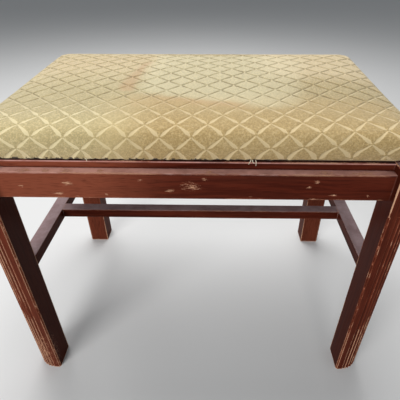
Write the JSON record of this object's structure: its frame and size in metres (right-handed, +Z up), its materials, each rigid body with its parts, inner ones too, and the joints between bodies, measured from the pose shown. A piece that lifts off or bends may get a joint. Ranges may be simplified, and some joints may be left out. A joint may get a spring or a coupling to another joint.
{
  "type": "upholstered bench",
  "caption": "Low oblong wooden bench with square fluted legs, stepped rails, an H-shaped stretcher and a padded seat covered in diamond-patterned cloth.",
  "frame": {"origin": "on the floor under the middle of the bench", "axes": "+Z up, +X to the right of someone who faces the front, +Y to the back"},
  "size_m": [0.53, 0.356, 0.4265],
  "materials": {
    "stained_wood": "worn red-brown mahogany stain and varnish",
    "plain_wood": "bare sawn hardwood",
    "plywood": "bare plywood",
    "cut_velour": "olive-gold cut pile with a diamond lattice, soiled and faded",
    "stuffing": "cotton felt",
    "cambric": "thin black lining cloth",
    "screw_steel": "dull steel",
    "tack_steel": "blued steel"
  },
  "bodies": {
    "root": {"front_left_leg": "stained_wood", "front_right_leg": "stained_wood", "back_left_leg": "stained_wood", "back_right_leg": "stained_wood", "front_rail": "stained_wood", "back_rail": "stained_wood", "left_rail": "stained_wood", "right_rail": "stained_wood", "left_stretcher": "stained_wood", "right_stretcher": "stained_wood", "cross_stretcher": "stained_wood", "rail_dowels": "plain_wood", "front_left_block": "plain_wood", "front_right_block": "plain_wood", "back_left_block": "plain_wood", "back_right_block": "plain_wood", "block_screws": "screw_steel", "seat_screws": "screw_steel", "seat_board": "plywood", "seat_pad": "stuffing", "seat_cover": "cut_velour", "dust_cover": "cambric", "cover_tacks": "tack_steel"}
  },
  "joints": []
}
